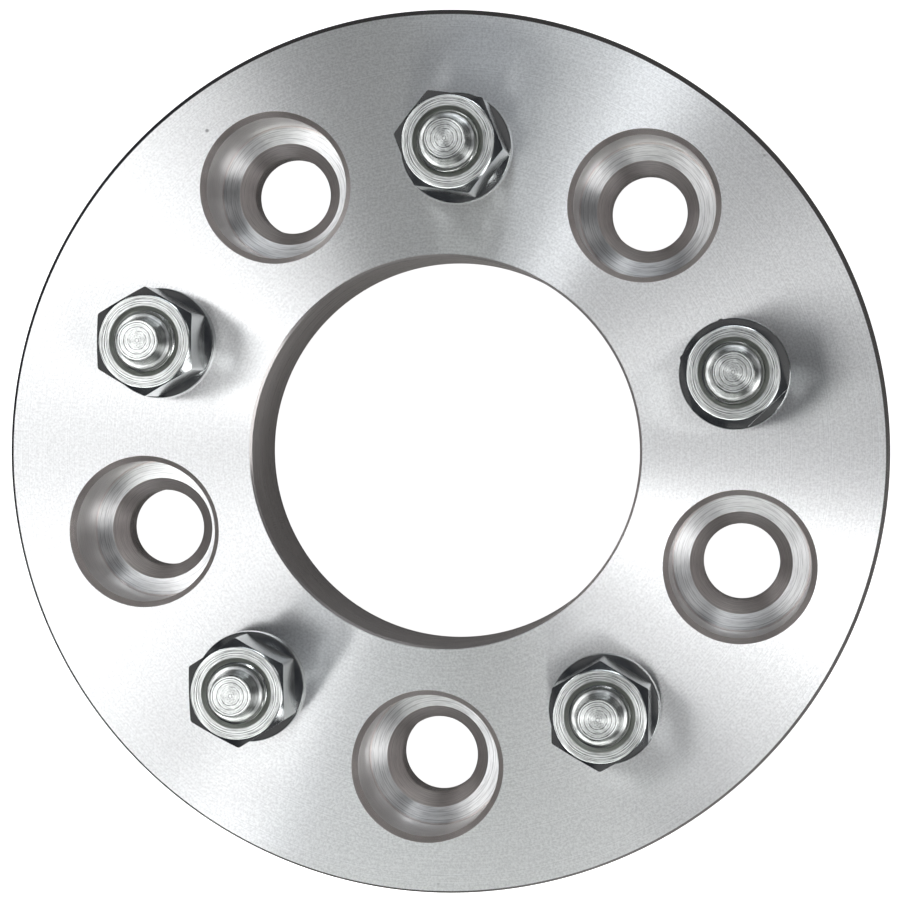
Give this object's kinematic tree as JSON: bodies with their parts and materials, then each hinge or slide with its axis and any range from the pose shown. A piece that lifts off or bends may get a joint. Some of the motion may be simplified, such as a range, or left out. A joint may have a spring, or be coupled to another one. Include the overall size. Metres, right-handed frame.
{
  "type": "wheel spacer",
  "caption": "Round aluminium wheel spacer with a hub bore, stepped wells for hub studs, and pressed-in wheel studs that carry open-ended lug nuts.",
  "frame": {"origin": "centre of the bore on the back face, which bolts to the hub", "axes": "+Z along the bore, from the back face towards the wheel studs; one wheel stud lies on +Y"},
  "size_m": [0.1778, 0.1778, 0.0637],
  "materials": {
    "machined_aluminium": "fine turned, satin",
    "stud_steel": "bright zinc plated, turned end",
    "nut_steel": "bright zinc plated"
  },
  "bodies": {
    "root": {"spacer_plate": "machined_aluminium", "wheel_studs": "stud_steel", "lug_nuts": "nut_steel"}
  },
  "joints": []
}
